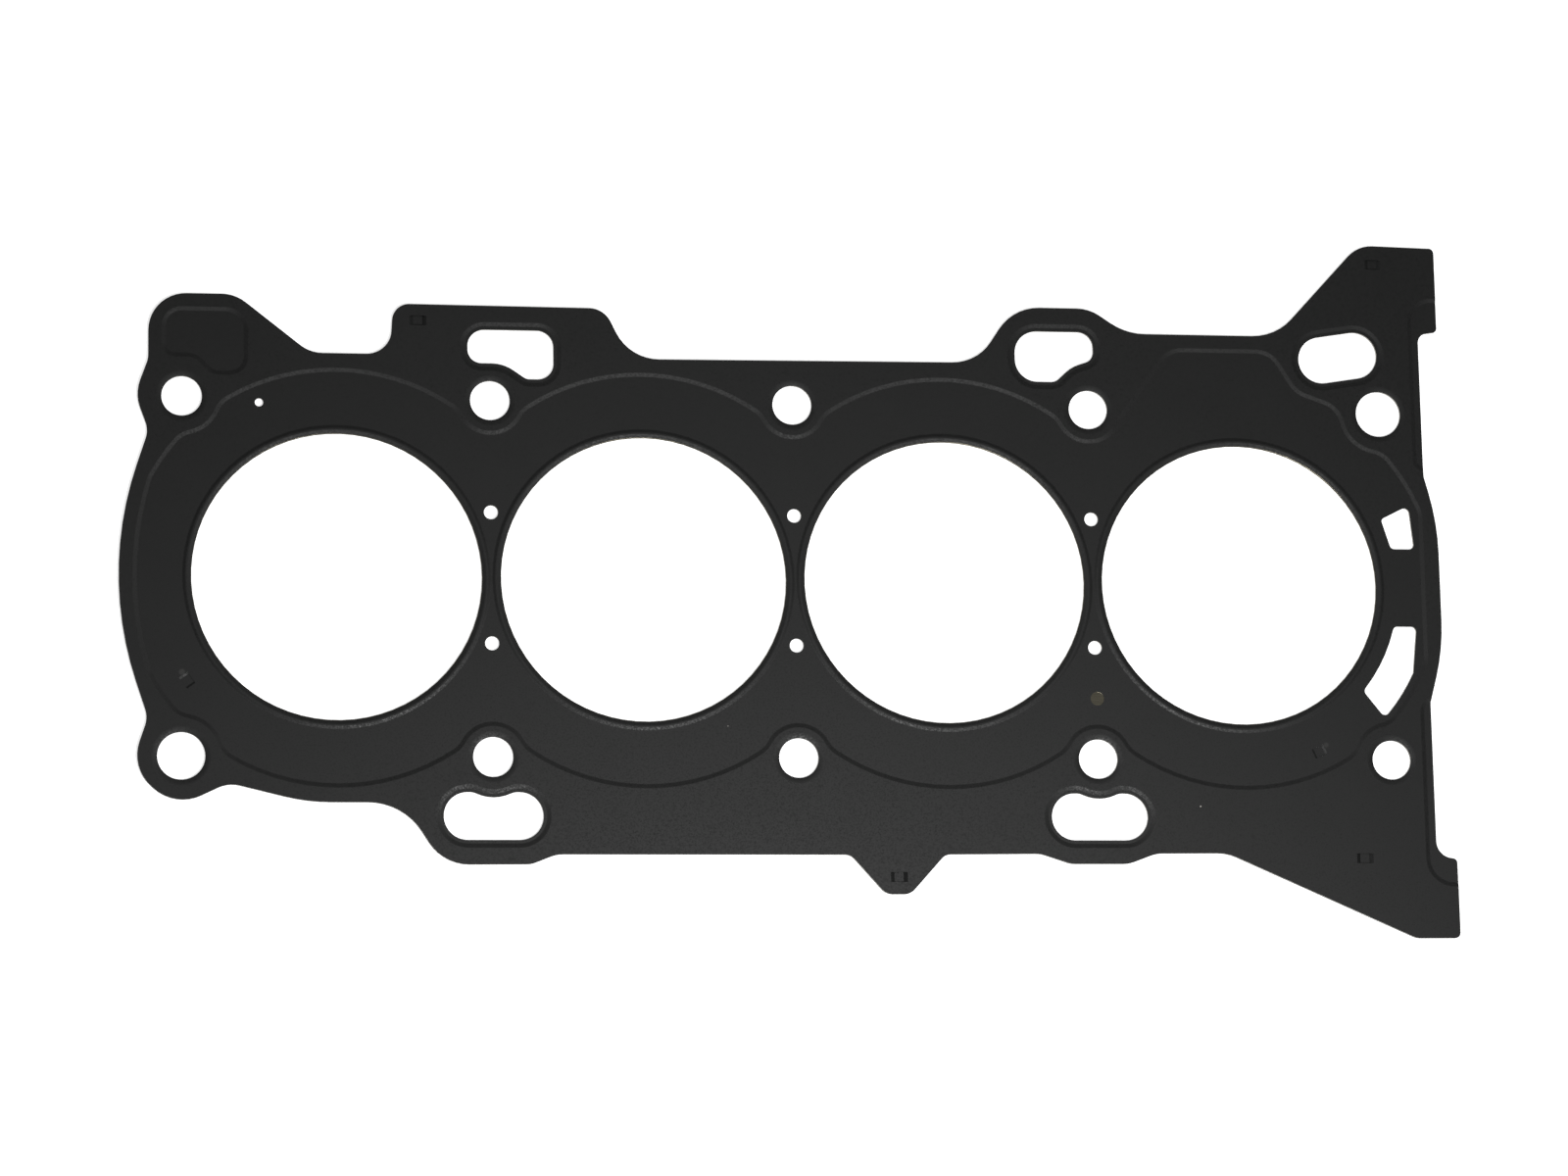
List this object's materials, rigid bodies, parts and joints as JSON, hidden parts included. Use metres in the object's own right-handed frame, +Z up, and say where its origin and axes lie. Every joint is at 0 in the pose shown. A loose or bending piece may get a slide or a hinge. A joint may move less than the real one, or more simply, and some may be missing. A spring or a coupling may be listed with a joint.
{
  "type": "cylinder head gasket",
  "caption": "Flat gasket of beaded steel sheets that seals the joint between an engine block and its cylinder head, with ways for the cylinders, bolts, oil and coolant.",
  "frame": {"origin": "centre of the ten head bolts, on the underside that meets the block", "axes": "+X along the row of cylinders towards the timing end, +Y towards the side with the small jacket vent, +Z up towards the cylinder head"},
  "size_m": [0.424, 0.2253, 0.0014],
  "materials": {
    "coated_sheet": "satin rubber coating on spring steel",
    "bare_spacer": "plain rolled steel"
  },
  "bodies": {
    "root": {"upper_bead_layer": "coated_sheet", "spacer_layer": "bare_spacer", "lower_bead_layer": "coated_sheet"}
  },
  "joints": []
}
